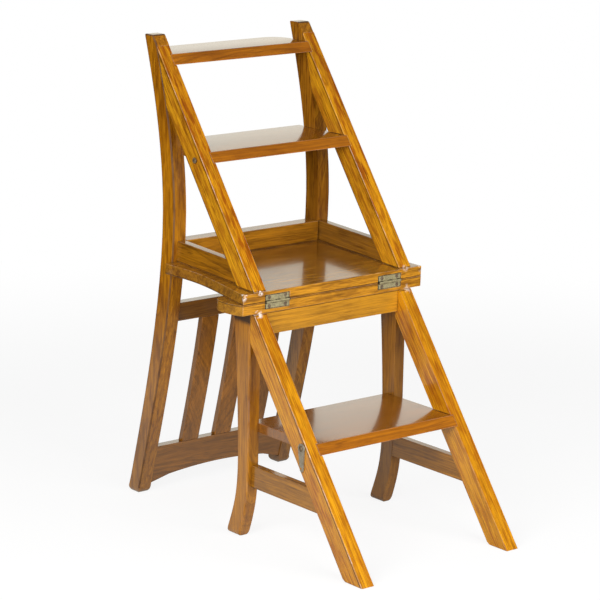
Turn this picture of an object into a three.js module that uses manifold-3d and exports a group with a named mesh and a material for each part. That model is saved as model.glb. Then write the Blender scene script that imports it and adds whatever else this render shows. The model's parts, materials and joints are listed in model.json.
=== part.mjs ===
// Folding step chair: a hardwood chair that turns over its front hinges into three steps.
// It is built in its step form. Millimetres, +Z up, climbing side towards -Y.
// The fold axis runs along X through the front edges of the seat board and the strip under it.
// Until the last lines the fold axis is at y = 0; then the whole piece is centred on its footprint.

import * as THREE from 'three';
import { mergeVertices } from 'three/addons/utils/BufferGeometryUtils.js';
import Module from 'manifold-3d';

const wasm = await Module();
wasm.setup();

// Sizes of the whole piece
const hingeHeight = 450;
const frameHalfWidth = 186;
const memberWidth = 28;
const boardThickness = 19.7;
const rakeAngle = THREE.MathUtils.degToRad(2.7);
const stileSlope = THREE.MathUtils.degToRad(53.7);
const stileDepth = 41.3;
const stileToeChamfer = 4;

// Clearances and how finely curves are cut
const jointGap = 0.3;
const foldGap = 0.8;
const overrun = 40;
const edgeSteps = 14;
const roundSteps = 16;
const domeSteps = 4;

// Posts: their waist lies above the fold axis, and head and tail sweep back from it
const postWaistRise = 125;
const postWaistDepth = 37.5;
const postTopDepth = 26.1;
const postHeadSweep = 58;
const postHeadDepth = 34;
const postHeadPull = 55;
const postTailSweep = 110;
const postTailDepth = 33.5;
const postTailPull = 80;
const postPullUp = 140;
const postPullDown = 200;
const postFootRound = 12;
const postHeadLeanShare = 0.29;
const postTailLeanShare = 0.25;

// Curved front legs: front and back edge behind the fold axis, inner face nearer than the stiles'
const legInnerStep = 4;
const legTopSetback = 12;
const legTopDepth = 52;
const legTopPull = 60;
const legTopLeanShare = 0.1;
const legWaistHeight = 150;
const legWaistSetback = 15;
const legWaistDepth = 32;
const legWaistPullUp = 120;
const legWaistPullDown = 75;
const legFootSetback = 42;
const legFootDepth = 37;
const legFootPull = 50;
const legFootLeanShare = 0.35;
const legFootChamfer = 3;

// Seat board and the strip under it, seen from above
const seatFrontOverhang = 25;
const seatWaistOverhang = 7;
const seatWaistSetback = 150;
const seatCornerOverhang = 17;
const seatCornerRound = 5;
const seatTongueLength = 20;
const stripDepth = 76;
const stripOverhang = 40;
const stripBellySetback = 44;
const stripCornerRadius = 27;

// Treads
const stepThickness = 18.4;
const housingDepth = 5;
const baseStepDrop = 229;
const baseStepReach = 20;
const middleStepRise = 249.6;
const middleStepOverhang = 20;
const topStepDrop = 34.7;
const topStepOverhang = 53;
const topStepCornerRadius = 40;

// Rails round the seat and under it
const seatRailHeight = 39.7;
const seatRailInset = 10;
const seatRailInnerInset = 2;
const seatBackRailThickness = 27;
const railTenonThickness = 12;
const railTenonShoulder = 8;
const railTenonSetback = 3;
const baseRailThickness = 15;
const baseRailInset = 9;
const baseRailDrop = 60.4;
const baseRailHeight = 41.9;
const apronHeight = 42;
const apronThickness = 18;
const apronInset = 4;

// Back of the chair, which hangs below the seat here
const backInset = 2;
const crossRailDrop = 54;
const crossRailHeight = 37;
const crossRailThickness = 22;
const slatCount = 3;
const slatWidth = 39;
const slatThickness = 13;
const slatTenonLength = 8;
const slatTenonThickness = 6;
const crestTop = 96;
const crestThickness = 20;
const crestMiddleHeight = 59;
const crestShoulderHeight = 67;
const crestShoulderInset = 42;
const crestEndHeight = 80;

// Butt hinges
const hingeInset = 25;
const hingeLength = 55;
const upperLeafMargin = 6.7;
const lowerLeafHeight = 13;
const leafThickness = 1.6;
const knuckleRadius = 3;
const knuckleCount = 5;
const knuckleGap = 0.25;
const hingePinRadius = 1.4;
const pinRunningGap = 0.1;
const screwHeadRadius = 3.6;
const screwHeadDepth = 2.6;
const screwShankRadius = 1.7;
const screwLength = 16;
const screwEndMargin = 9;

// Swivel hooks and the pins that they catch
const catchPinRise = 235.4;
const catchPinEdge = 17;
const hookPivotEdge = 12.5;
const hookThickness = 2;
const hookHeadRadius = 9;
const hookTipRadius = 5;
const hookTipForward = 2;
const hookTipReach = 6;
const hookShankRadius = 2.2;
const pinNeckRadius = 2.1;
const pinHeadRadius = 5.6;
const pinHeadHeight = 2.4;
const pinRim = 0.6;
const pivotHeadRadius = 5.2;
const pinDepth = 15;

// Places worked out from the sizes above
const fullHeight = 2 * hingeHeight;
const innerHalfWidth = frameHalfWidth - memberWidth;
const housedHalfWidth = innerHalfWidth + housingDepth;
const halfFold = foldGap / 2;
const halfGap = jointGap / 2;
const boardTop = halfGap + boardThickness;
const legWidth = memberWidth - legInnerStep;
const upperLeafHeight = boardThickness - upperLeafMargin;
const sides = [['left', -1], ['right', 1]];
const postWaistHeight = hingeHeight + postWaistRise;
const postHeadSetback = splitAt(fullHeight, 1) + postTopDepth;
const postWaistSetback = postHeadSetback - postHeadSweep;
const postTailSetback = postWaistSetback + postTailSweep;
const seatFrontHalfWidth = frameHalfWidth + seatFrontOverhang;
const stripHalfWidth = frameHalfWidth + stripOverhang;
const seatRailRange = [innerHalfWidth + seatRailInnerInset, frameHalfWidth - seatRailInset];
const baseRailOuter = frameHalfWidth - baseRailInset;
const baseRailRange = [baseRailOuter - baseRailThickness, baseRailOuter];
const crossRailTop = hingeHeight - crossRailDrop;
const crossRailLow = crossRailTop - crossRailHeight;
const slatSpacing = 2 * innerHalfWidth / (slatCount + 1);
const hingeOffset = innerHalfWidth - hingeInset;
const catchPinHeight = hingeHeight + catchPinRise;
const catchPinSetback = splitAt(catchPinHeight, 1) + catchPinEdge / Math.sin(stileSlope);
const hookPivotHeight = hingeHeight - catchPinRise;
const hookPivotSetback = splitAt(hookPivotHeight, -1) + hookPivotEdge / Math.sin(stileSlope);
const hookReach = catchPinSetback + hookPivotSetback;

// Materials
const wood = (colour, roughness = 0.35) =>
  new THREE.MeshStandardMaterial({ color: colour, roughness, metalness: 0 });
const metal = (colour, roughness) =>
  new THREE.MeshStandardMaterial({ color: colour, roughness, metalness: 0.9 });

const chair = new THREE.Group();

function place(name, geometry, material) {
  const mesh = new THREE.Mesh(geometry, material);
  mesh.name = name;
  chair.add(mesh);
}

// Joining and cutting of closed geometries
function toSolid(geometry) {
  const bare = geometry.clone();
  bare.deleteAttribute('normal');
  bare.deleteAttribute('uv');
  const merged = mergeVertices(bare);
  const corners = merged.getIndex().array;
  const triangles = [];
  for (let i = 0; i < corners.length; i += 3) {
    const triangle = [corners[i], corners[i + 1], corners[i + 2]];
    if (new Set(triangle).size === 3) {
      triangles.push(...triangle);
    }
  }
  return new wasm.Manifold(new wasm.Mesh({
    numProp: 3,
    vertProperties: new Float32Array(merged.getAttribute('position').array),
    triVerts: new Uint32Array(triangles),
  }));
}

function fromSolid(solid) {
  const mesh = solid.getMesh();
  const geometry = new THREE.BufferGeometry();
  geometry.setAttribute('position', new THREE.BufferAttribute(new Float32Array(mesh.vertProperties), 3));
  geometry.setIndex(new THREE.BufferAttribute(new Uint32Array(mesh.triVerts), 1));
  geometry.computeVertexNormals();
  return geometry;
}

function cut(geometry, ...tools) {
  return fromSolid(tools.reduce((solid, tool) => solid.subtract(toSolid(tool)), toSolid(geometry)));
}

function join(...pieces) {
  return fromSolid(pieces.map(toSolid).reduce((whole, piece) => whole.add(piece)));
}

function common(first, second) {
  return fromSolid(toSolid(first).intersect(toSolid(second)));
}

// Outlines. A side outline has setback behind the fold axis first, then height.
const sideFrame = new THREE.Matrix4().makeBasis(
  new THREE.Vector3(0, 1, 0),
  new THREE.Vector3(0, 0, 1),
  new THREE.Vector3(1, 0, 0),
);

function polygon(points) {
  return new THREE.Shape(points.map(([across, up]) => new THREE.Vector2(across, up)));
}

function extrude(shape, depth) {
  return new THREE.ExtrudeGeometry(shape, { depth, bevelEnabled: false, steps: 1, curveSegments: edgeSteps });
}

function sideSolid(shape, xFrom, xTo) {
  const geometry = extrude(shape, xTo - xFrom);
  geometry.applyMatrix4(sideFrame);
  return geometry.translate(xFrom, 0, 0);
}

function boxBetween([x0, y0, z0], [x1, y1, z1]) {
  const geometry = new THREE.BoxGeometry(x1 - x0, y1 - y0, z1 - z0);
  return geometry.translate((x0 + x1) / 2, (y0 + y1) / 2, (z0 + z1) / 2);
}

// An outline seen from the front, first across and then up, made solid from one setback to another
function frontSolid(shape, yFrom, yTo) {
  const geometry = extrude(shape, yTo - yFrom);
  geometry.rotateX(Math.PI / 2);
  return geometry.translate(0, yTo, 0);
}

// The x range between two distances from the middle plane, on one side
function sideRange(side, near, far) {
  return side > 0 ? [near, far] : [-far, -near];
}

// The x range of a post, leg or stile on one side, widened when it serves as a cutter
function memberRange(side, grow = 0, width = memberWidth) {
  return sideRange(side, frameHalfWidth - width - grow, frameHalfWidth + grow);
}

// The sloping plane where the two halves meet, at one height: half is 1 above the seat and -1 below it
function splitAt(height, half) {
  return (height - hingeHeight - half * boardThickness) / Math.tan(stileSlope) + halfFold;
}

// All that lies in front of a sloping plane, a distance behind the split plane
function frontOfSlope(half, behind) {
  const low = -overrun;
  const high = fullHeight + overrun;
  const plane = (height) => splitAt(height, half) + behind / Math.sin(stileSlope);
  const far = plane(low) - overrun;
  return polygon([[plane(low), low], [plane(high), high], [far, high], [far, low]]);
}

function stileOutline(half) {
  const low = half > 0 ? hingeHeight : 0;
  const high = low + hingeHeight;
  const rear = (height) => splitAt(height, half) + stileDepth / Math.sin(stileSlope);
  return polygon([
    [splitAt(low, half), low],
    [rear(low) - stileToeChamfer, low],
    [rear(low + stileToeChamfer), low + stileToeChamfer],
    [rear(high), high],
    [splitAt(high, half), high],
  ]);
}

// One long edge of a post as points from its tail up to its head
function postEdge(tail, waist, head) {
  const path = new THREE.Path();
  path.moveTo(tail, postFootRound);
  path.bezierCurveTo(
    tail - postTailPull * postTailLeanShare, postFootRound + postTailPull,
    waist, postWaistHeight - postPullDown,
    waist, postWaistHeight,
  );
  path.bezierCurveTo(
    waist, postWaistHeight + postPullUp,
    head - postHeadPull * postHeadLeanShare, fullHeight - postHeadPull,
    head, fullHeight,
  );
  return path.getPoints(edgeSteps);
}

// The setback of an edge at one height
function edgeAt(edge, height) {
  const above = Math.max(edge.findIndex((point) => point.y >= height), 1);
  const low = edge[above - 1];
  const high = edge[above];
  return low.x + (high.x - low.x) * (height - low.y) / (high.y - low.y);
}

// A post seen from the side, widened forwards and backwards when it serves as a cutter
function postOutline(forward = 0, backward = 0) {
  const frontTail = postTailSetback - postTailDepth - forward;
  const backTail = postTailSetback + backward;
  const front = postEdge(
    frontTail,
    postWaistSetback - postWaistDepth - forward,
    postHeadSetback - postHeadDepth - forward,
  );
  const back = postEdge(backTail, postWaistSetback + backward, postHeadSetback + backward);
  const footLean = postFootRound * postTailLeanShare;
  const shape = new THREE.Shape();
  shape.moveTo(frontTail + postFootRound, 0);
  shape.quadraticCurveTo(frontTail + footLean, 0, frontTail, postFootRound);
  front.slice(1).forEach((point) => shape.lineTo(point.x, point.y));
  back.reverse().forEach((point) => shape.lineTo(point.x, point.y));
  shape.quadraticCurveTo(backTail + footLean, 0, backTail - postFootRound, 0);
  return shape;
}

const postBack = postEdge(postTailSetback, postWaistSetback, postHeadSetback);
const postFront = postEdge(
  postTailSetback - postTailDepth,
  postWaistSetback - postWaistDepth,
  postHeadSetback - postHeadDepth,
);

// A layer of the chair's back between two heights, following the posts' front edge
function backLayer([low, high], inset, thickness, grow = 0) {
  const from = low - grow;
  const rise = high - low + 2 * grow;
  const heights = Array.from({ length: edgeSteps + 1 }, (_, i) => from + rise * i / edgeSteps);
  const front = heights.map((height) => [edgeAt(postFront, height) + inset - grow, height]);
  const back = heights.map((height) => [edgeAt(postFront, height) + inset + thickness + grow, height]);
  return polygon([...front, ...back.reverse()]);
}

// A curved front leg seen from the side
function legOutline(forward = 0, backward = 0) {
  const waistBack = legWaistSetback + legWaistDepth + backward;
  const footBack = legFootSetback + legFootDepth + backward;
  const topBack = legTopSetback + legTopDepth + backward;
  const footLean = legFootPull * legFootLeanShare;
  const shape = new THREE.Shape();
  shape.moveTo(legFootSetback - forward, 0);
  shape.bezierCurveTo(
    legFootSetback - forward - footLean, legFootPull,
    legWaistSetback - forward, legWaistHeight - legWaistPullDown,
    legWaistSetback - forward, legWaistHeight,
  );
  shape.lineTo(legTopSetback - forward, hingeHeight);
  shape.lineTo(topBack, hingeHeight);
  shape.bezierCurveTo(
    topBack - legTopPull * legTopLeanShare, hingeHeight - legTopPull,
    waistBack, legWaistHeight + legWaistPullUp,
    waistBack, legWaistHeight,
  );
  shape.bezierCurveTo(
    waistBack, legWaistHeight - legWaistPullDown,
    footBack - footLean, legFootPull,
    footBack, legFootChamfer,
  );
  shape.lineTo(footBack - legFootChamfer, 0);
  return shape;
}

// Raked pieces: drawn flat with the fold axis at the origin, then turned by the seat's rake
function raked(geometry) {
  geometry.rotateX(rakeAngle);
  return geometry.translate(0, 0, hingeHeight);
}

// A slab in the rake of the seat, from one level to another, wider than anything it cuts
function rakedSlab(low, high) {
  const reach = frameHalfWidth + overrun;
  return raked(boxBetween([-reach, -fullHeight, low], [reach, fullHeight, high]));
}

function memberCutter(outline, side) {
  return sideSolid(outline, ...memberRange(side, jointGap));
}

// Treads: level boards whose front edges lie in the split plane
const baseStepTop = hingeHeight - baseStepDrop;
const baseRailTop = baseStepTop - stepThickness - baseRailDrop;
const middleStepTop = hingeHeight + middleStepRise;
const topStepTop = fullHeight - topStepDrop;
const topStepSetback = edgeAt(postBack, topStepTop) + topStepOverhang;
const treads = {
  base_step: { top: baseStepTop, setback: legWaistSetback + baseStepReach, half: -1 },
  middle_step: { top: middleStepTop, setback: edgeAt(postBack, middleStepTop) + middleStepOverhang, half: 1 },
  top_step: { top: topStepTop, setback: topStepSetback, half: 1 },
};

function treadSolid({ top, setback, half }, grow = 0) {
  const low = top - stepThickness - grow;
  const high = top + grow;
  const forward = grow > 0 ? overrun : 0;
  const outline = polygon([
    [splitAt(low, half) - forward, low],
    [setback + grow, low],
    [setback + grow, high],
    [splitAt(high, half) - forward, high],
  ]);
  return sideSolid(outline, -housedHalfWidth - grow, housedHalfWidth + grow);
}

// Outline from above that rounds the back corners of the top tread
function topStepPlan() {
  const front = splitAt(topStepTop - stepThickness, 1) - overrun;
  const straight = topStepSetback - topStepCornerRadius;
  const cornerX = housedHalfWidth - topStepCornerRadius;
  const shape = new THREE.Shape();
  shape.moveTo(-housedHalfWidth, front);
  shape.lineTo(housedHalfWidth, front);
  shape.lineTo(housedHalfWidth, straight);
  shape.absarc(cornerX, straight, topStepCornerRadius, 0, Math.PI / 2);
  shape.absarc(-cornerX, straight, topStepCornerRadius, Math.PI / 2, Math.PI);
  return shape;
}

// Seat board and strip, seen from above
const seatPostFront = edgeAt(postFront, hingeHeight + boardTop);
const seatTongueSetback = seatPostFront + seatTongueLength;

function seatPlan() {
  const corner = seatPostFront - jointGap;
  const seatWaistHalfWidth = frameHalfWidth + seatWaistOverhang;
  const seatCornerHalfWidth = frameHalfWidth + seatCornerOverhang;
  const tongue = innerHalfWidth - jointGap;
  const right = new THREE.SplineCurve([
    new THREE.Vector2(seatFrontHalfWidth, halfFold),
    new THREE.Vector2(seatWaistHalfWidth, seatWaistSetback),
    new THREE.Vector2(seatCornerHalfWidth, corner - seatCornerRound),
  ]).getPoints(edgeSteps);
  const shape = new THREE.Shape();
  shape.moveTo(-seatFrontHalfWidth, halfFold);
  right.forEach((point) => shape.lineTo(point.x, point.y));
  shape.quadraticCurveTo(seatCornerHalfWidth, corner, seatCornerHalfWidth - seatCornerRound, corner);
  shape.lineTo(tongue, corner);
  shape.lineTo(tongue, seatTongueSetback);
  shape.lineTo(-tongue, seatTongueSetback);
  shape.lineTo(-tongue, corner);
  shape.lineTo(seatCornerRound - seatCornerHalfWidth, corner);
  shape.quadraticCurveTo(-seatCornerHalfWidth, corner, -seatCornerHalfWidth, corner - seatCornerRound);
  right.reverse().forEach((point) => shape.lineTo(-point.x, point.y));
  return shape;
}

function stripPlan() {
  const straight = halfFold + stripDepth - stripCornerRadius;
  const cornerX = stripHalfWidth - stripCornerRadius;
  const shape = new THREE.Shape();
  shape.moveTo(-seatFrontHalfWidth, halfFold);
  shape.lineTo(seatFrontHalfWidth, halfFold);
  shape.quadraticCurveTo(stripHalfWidth, stripBellySetback / 2, stripHalfWidth, straight);
  shape.absarc(cornerX, straight, stripCornerRadius, 0, Math.PI / 2);
  shape.absarc(-cornerX, straight, stripCornerRadius, Math.PI / 2, Math.PI);
  shape.quadraticCurveTo(-stripHalfWidth, stripBellySetback / 2, -seatFrontHalfWidth, halfFold);
  return shape;
}

// Hinges: everything is drawn round the fold axis, half is 1 for the upper leaf and -1 for the lower
function barrel(radius, x0, x1) {
  const geometry = new THREE.CylinderGeometry(radius, radius, x1 - x0, roundSteps);
  geometry.rotateZ(Math.PI / 2);
  return geometry.translate((x0 + x1) / 2, 0, hingeHeight);
}

function leafPlate(centre, half, grow = 0) {
  const height = half > 0 ? upperLeafHeight : lowerLeafHeight;
  const inner = hingeHeight + half * (halfGap - grow);
  const outer = hingeHeight + half * (height + grow);
  const front = grow > 0 ? -overrun : halfFold;
  const reach = hingeLength / 2 + grow;
  return boxBetween(
    [centre - reach, front, Math.min(inner, outer)],
    [centre + reach, halfFold + leafThickness + grow, Math.max(inner, outer)],
  );
}

function hingeLeaf(centre, half) {
  const pitch = hingeLength / knuckleCount;
  const start = centre - hingeLength / 2;
  const own = [];
  const other = [];
  for (let i = 0; i < knuckleCount; i += 1) {
    const isLower = i % 2 === 0;
    (isLower === half < 0 ? own : other).push(start + i * pitch);
  }
  const knuckles = own.map((x) => barrel(knuckleRadius, x + knuckleGap / 2, x + pitch - knuckleGap / 2));
  const gaps = other.map((x) => barrel(
    knuckleRadius + jointGap,
    x - knuckleGap / 2,
    x + pitch + knuckleGap / 2,
  ));
  const bore = barrel(hingePinRadius + pinRunningGap, start - overrun, start + hingeLength + overrun);
  return cut(
    cut(join(cut(leafPlate(centre, half), ...gaps), ...knuckles), bore),
    ...screwPlaces(centre, half).map((at) => screw(at, jointGap)),
  );
}

function hingePocket(centre, half) {
  const reach = hingeLength / 2 + jointGap;
  return [leafPlate(centre, half, jointGap), barrel(knuckleRadius + jointGap, centre - reach, centre + reach)];
}

function screwPlaces(centre, half) {
  const height = half > 0 ? upperLeafHeight : lowerLeafHeight;
  const up = hingeHeight + half * (knuckleRadius + height) / 2;
  return [-1, 1].map((end) => [centre + end * (hingeLength / 2 - screwEndMargin), up]);
}

// A solid of revolution about an axis along +Y, from its profile of radius and place
function turned(profile) {
  return new THREE.LatheGeometry(profile.map(([r, y]) => new THREE.Vector2(r, y)), roundSteps);
}

// A countersunk wood screw that lies along +Y behind a leaf's front face
function screw([x, z], grow = 0) {
  const head = screwHeadRadius + grow;
  const shank = screwShankRadius + grow;
  const mouth = grow > 0 ? [[0, -overrun], [head, -overrun]] : [[0, 0]];
  return turned([
    ...mouth,
    [head, 0],
    [shank, screwHeadDepth],
    [shank, screwLength - screwShankRadius],
    [0, screwLength + grow],
  ]).translate(x, halfFold, z);
}

// A round-headed pin that stands out of the frame's outer face
function headedPin(side, { setback, height, radius, headRadius }, grow = 0) {
  const neck = hookThickness + 2 * jointGap;
  const dome = Array.from({ length: domeSteps + 1 }, (_, i) => {
    const turn = i / domeSteps * Math.PI / 2;
    return [headRadius * Math.cos(turn), neck + pinRim + (pinHeadHeight - pinRim) * Math.sin(turn)];
  });
  const profile = [
    [0, -pinDepth - grow],
    [radius + grow, -pinDepth - grow],
    [radius + grow, neck],
    [headRadius, neck],
    ...dome.slice(0, -1),
    [0, neck + pinHeadHeight],
  ];
  const geometry = turned(profile);
  geometry.rotateZ(-side * Math.PI / 2);
  return geometry.translate(side * frameHalfWidth, setback, height);
}

function hook(side) {
  const low = -hookReach - hookTipReach;
  const shape = new THREE.Shape();
  shape.moveTo(hookHeadRadius, 0);
  shape.absarc(0, 0, hookHeadRadius, 0, Math.PI);
  shape.lineTo(-hookTipForward - hookTipRadius, low + hookTipRadius);
  shape.absarc(-hookTipForward, low + hookTipRadius, hookTipRadius, Math.PI, 2 * Math.PI);
  const hole = new THREE.Path();
  hole.absarc(0, 0, hookShankRadius + jointGap, 0, 2 * Math.PI, true);
  shape.holes.push(hole);
  const slot = new THREE.Shape();
  const slotRadius = pinNeckRadius + jointGap;
  slot.moveTo(overrun, -hookReach + slotRadius);
  slot.absarc(0, -hookReach, slotRadius, Math.PI / 2, Math.PI * 3 / 2);
  slot.lineTo(overrun, -hookReach - slotRadius);
  const [x0, x1] = sideRange(side, frameHalfWidth + jointGap, frameHalfWidth + jointGap + hookThickness);
  const plate = sideSolid(shape, x0, x1);
  const notch = sideSolid(slot, x0 - overrun, x1 + overrun);
  return cut(plate, notch).translate(0, hookPivotSetback, hookPivotHeight);
}

// Rails and slats of the chair's back. Their ends are housed in the posts.
const backRange = [-housedHalfWidth, housedHalfWidth];
const grownBackRange = [-housedHalfWidth - jointGap, housedHalfWidth + jointGap];
const crossRailSpan = [crossRailLow, crossRailTop];
const crestSpan = [crestTop - crestEndHeight, crestTop];

function crestPlan() {
  const shoulder = crestTop - crestShoulderHeight;
  const middle = crestTop - crestMiddleHeight;
  const shoulderX = innerHalfWidth - crestShoulderInset;
  const shape = new THREE.Shape();
  shape.moveTo(-housedHalfWidth, crestTop);
  shape.lineTo(-housedHalfWidth, crestTop - crestEndHeight);
  shape.lineTo(-shoulderX, shoulder);
  shape.quadraticCurveTo(0, 2 * middle - shoulder, shoulderX, shoulder);
  shape.lineTo(housedHalfWidth, crestTop - crestEndHeight);
  shape.lineTo(housedHalfWidth, crestTop);
  return shape;
}

const slatCentres = Array.from({ length: slatCount }, (_, i) => (i - (slatCount - 1) / 2) * slatSpacing);

function slatBody(centre) {
  const span = [crestTop + jointGap, crossRailLow - jointGap];
  const outline = backLayer(span, backInset, slatThickness);
  return sideSolid(outline, centre - slatWidth / 2, centre + slatWidth / 2);
}

function slatTenon(centre, grow = 0) {
  const span = [crestTop - slatTenonLength, crossRailLow + slatTenonLength];
  const inset = backInset + (slatThickness - slatTenonThickness) / 2;
  const reach = slatWidth / 2 - slatTenonThickness / 2 + grow;
  return sideSolid(backLayer(span, inset, slatTenonThickness, grow), centre - reach, centre + reach);
}

// Seat rails. They stand on the seat board here, and are drawn in its rake.
const seatRailFoot = boardTop + jointGap;
const seatRailTop = boardTop + seatRailHeight;

function seatBackRail() {
  const reach = innerHalfWidth - jointGap;
  return raked(boxBetween(
    [-reach, seatTongueSetback - seatBackRailThickness, seatRailFoot],
    [reach, seatTongueSetback, seatRailTop],
  ));
}

function seatBackRailTenon(grow = 0) {
  const reach = housedHalfWidth + grow;
  const back = seatTongueSetback - railTenonSetback;
  return raked(boxBetween(
    [-reach, back - railTenonThickness - grow, seatRailFoot + railTenonShoulder - grow],
    [reach, back + grow, seatRailTop - railTenonShoulder + grow],
  ));
}

// Treads
Object.entries(treads).forEach(([name, tread]) => {
  const solid = treadSolid(tread);
  const rounded = name === 'top_step' ? common(solid, topStepSlab()) : solid;
  place(name, rounded, wood(0xb98a4e, 0.3));
});

function topStepSlab() {
  return extrude(topStepPlan(), fullHeight);
}

// Seat board and the strip under it, with the pockets of the hinges in their front edges
const hingeCentres = sides.map(([name, side]) => [name, side * hingeOffset]);
const seatCutters = [];
const stripCutters = [];
hingeCentres.forEach(([, centre]) => {
  seatCutters.push(...hingePocket(centre, 1), ...screwPlaces(centre, 1).map((at) => screw(at, jointGap)));
  stripCutters.push(...hingePocket(centre, -1), ...screwPlaces(centre, -1).map((at) => screw(at, jointGap)));
});
sides.forEach(([, side]) => seatCutters.push(memberCutter(postOutline(jointGap, jointGap), side)));
const seatBlank = raked(extrude(seatPlan(), boardThickness).translate(0, 0, halfGap));
const stripBlank = raked(extrude(stripPlan(), boardThickness).translate(0, 0, -boardTop));
place('seat_board', cut(seatBlank, ...seatCutters), wood(0xb9905c));
place('seat_front_strip', cut(stripBlank, ...stripCutters), wood(0xa87434));

// The base: stiles, curved legs, apron and low rails
const underStrip = rakedSlab(-boardTop - jointGap, fullHeight);
const legCutter = legOutline(jointGap, overrun);
const baseStepHousing = treadSolid(treads.base_step, jointGap);
sides.forEach(([name, side]) => {
  const pivot = {
    setback: hookPivotSetback,
    height: hookPivotHeight,
    radius: hookShankRadius,
    headRadius: pivotHeadRadius,
  };
  place(`latch_pivot_screw_${name}`, join(headedPin(side, pivot)), metal(0x6d5c3d, 0.5));
  place(`latch_hook_${name}`, hook(side), metal(0x7a7263, 0.45));
  const stile = sideSolid(stileOutline(-1), ...memberRange(side));
  place(`base_stile_${name}`, cut(
    stile,
    underStrip,
    memberCutter(legCutter, side),
    baseStepHousing,
    headedPin(side, pivot, jointGap),
  ), wood(0xc68222));
  const leg = sideSolid(legOutline(), ...memberRange(side, 0, legWidth));
  place(`front_leg_${name}`, cut(leg, underStrip, baseStepHousing), wood(0xbb7c26));
  const [x0, x1] = sideRange(side, ...baseRailRange);
  const rail = boxBetween(
    [x0, splitAt(baseRailTop, -1), baseRailTop - baseRailHeight],
    [x1, legWaistSetback + legWaistDepth / 2, baseRailTop],
  );
  place(`base_side_rail_${name}`, cut(
    rail,
    sideSolid(frontOfSlope(-1, stileDepth + jointGap), ...memberRange(side, overrun)),
    memberCutter(legOutline(jointGap), side),
  ), wood(0xb57a30));
});
const apronReach = innerHalfWidth - jointGap;
const apronLow = hingeHeight - boardTop - apronHeight;
const apronBlank = boxBetween(
  [-apronReach, apronInset, apronLow],
  [apronReach, apronInset + apronThickness, hingeHeight],
);
place('front_apron', cut(apronBlank, underStrip), wood(0x8c5520));

// The turning half: stiles and posts
const underStile = rakedSlab(-fullHeight, seatRailFoot);
const stileEnd = postOutline(jointGap, postHeadDepth + stileDepth);
const upperHousings = [
  treadSolid(treads.middle_step, jointGap),
  treadSolid(treads.top_step, jointGap),
];
const crossRailHousing = sideSolid(
  backLayer(crossRailSpan, backInset, crossRailThickness, jointGap),
  ...grownBackRange,
);
const crestHousing = sideSolid(
  backLayer(crestSpan, backInset, crestThickness, jointGap),
  ...grownBackRange,
);
sides.forEach(([name, side]) => {
  const pin = {
    setback: catchPinSetback,
    height: catchPinHeight,
    radius: pinNeckRadius,
    headRadius: pinHeadRadius,
  };
  place(`catch_pin_${name}`, join(headedPin(side, pin)), metal(0x5b4326, 0.5));
  const stile = sideSolid(stileOutline(1), ...memberRange(side));
  place(`back_stile_${name}`, cut(
    stile,
    underStile,
    memberCutter(stileEnd, side),
    ...upperHousings,
    headedPin(side, pin, jointGap),
  ), wood(0xb27a35));
  const post = sideSolid(postOutline(), ...memberRange(side));
  place(`back_post_${name}`, cut(
    post,
    sideSolid(frontOfSlope(1, 0), ...memberRange(side, overrun)),
    ...upperHousings,
    seatBackRailTenon(jointGap),
    crossRailHousing,
    crestHousing,
  ), wood(0xab7130));
  const [x0, x1] = sideRange(side, ...seatRailRange);
  const rail = raked(boxBetween([x0, 0, seatRailFoot], [x1, seatTongueSetback, seatRailTop]));
  place(`seat_side_rail_${name}`, cut(
    rail,
    sideSolid(frontOfSlope(1, stileDepth + jointGap), ...memberRange(side, overrun)),
    memberCutter(postOutline(jointGap, postHeadDepth), side),
    seatBackRailTenon(jointGap),
  ), wood(0xae8550));
});
place('seat_back_rail', join(seatBackRail(), seatBackRailTenon()), wood(0xae8550));

// The chair's back
const crossRailBlank = sideSolid(backLayer(crossRailSpan, backInset, crossRailThickness), ...backRange);
const crestBlank = common(
  sideSolid(backLayer(crestSpan, backInset, crestThickness), ...backRange),
  frontSolid(crestPlan(), 0, postTailSetback + overrun),
);
const mortises = slatCentres.map((centre) => slatTenon(centre, jointGap));
place('back_cross_rail', cut(crossRailBlank, ...mortises), wood(0xa06b34));
place('crest_rail', cut(crestBlank, ...mortises), wood(0x8a5c30));
slatCentres.forEach((centre, i) => {
  place(`back_slat_${i + 1}`, join(slatBody(centre), slatTenon(centre)), wood(0x7d5531));
});

// Hinges
hingeCentres.forEach(([name, centre]) => {
  const reach = hingeLength / 2;
  place(`hinge_upper_leaf_${name}`, hingeLeaf(centre, 1), metal(0x8a7a4c, 0.5));
  place(`hinge_lower_leaf_${name}`, hingeLeaf(centre, -1), metal(0x8a7a4c, 0.5));
  place(`hinge_pin_${name}`, barrel(hingePinRadius, centre - reach, centre + reach), metal(0x6d5f3a, 0.5));
});
[['upper', 1], ['lower', -1]].forEach(([level, half]) => {
  hingeCentres.forEach(([name, centre]) => {
    screwPlaces(centre, half).forEach((at, i) => {
      place(`${level}_screw_${name}_${i + 1}`, join(screw(at)), metal(0x75673f, 0.5));
    });
  });
});

// The origin lies on the floor under the middle of the footprint
const bounds = new THREE.Box3().setFromObject(chair);
chair.position.y = -(bounds.min.y + bounds.max.y) / 2;

export default chair;
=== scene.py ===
"""Folding step chair, shown as steps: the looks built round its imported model."""

import json
import math
import random

import bmesh
import bpy
from mathutils import Matrix, Vector

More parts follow.
